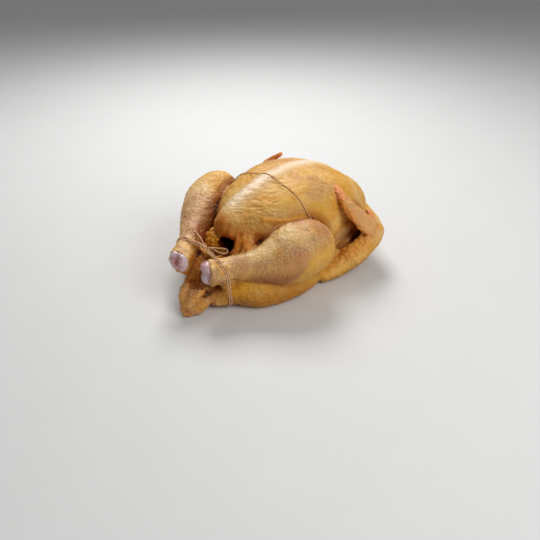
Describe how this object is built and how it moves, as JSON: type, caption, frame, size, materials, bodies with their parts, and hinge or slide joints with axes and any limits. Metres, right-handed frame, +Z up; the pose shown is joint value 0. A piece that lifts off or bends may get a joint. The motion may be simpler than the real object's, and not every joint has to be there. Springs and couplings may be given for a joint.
{
  "type": "whole raw chicken",
  "caption": "Whole raw chicken, plucked, on its back with folded wings and crossed legs tied with string, open body cavity at the tail end.",
  "frame": {"origin": "under the middle of the bird, on the surface that it rests on", "axes": "+Z up through the breast, +Y towards the neck end, -Y towards the tail, +X towards the bird's left side"},
  "size_m": [0.2178, 0.2908, 0.1204],
  "materials": {
    "skin": "moist golden raw skin with pale raised pores",
    "gristle": "wet lilac white gristle with a red middle",
    "pale_twine": "thin pale twisted kitchen twine",
    "brown_twine": "thin brown twisted kitchen twine"
  },
  "bodies": {
    "root": {"chicken": "skin", "left_bone_end": "gristle", "right_bone_end": "gristle", "leg_tie": "pale_twine", "breast_tie": "brown_twine"}
  },
  "joints": []
}
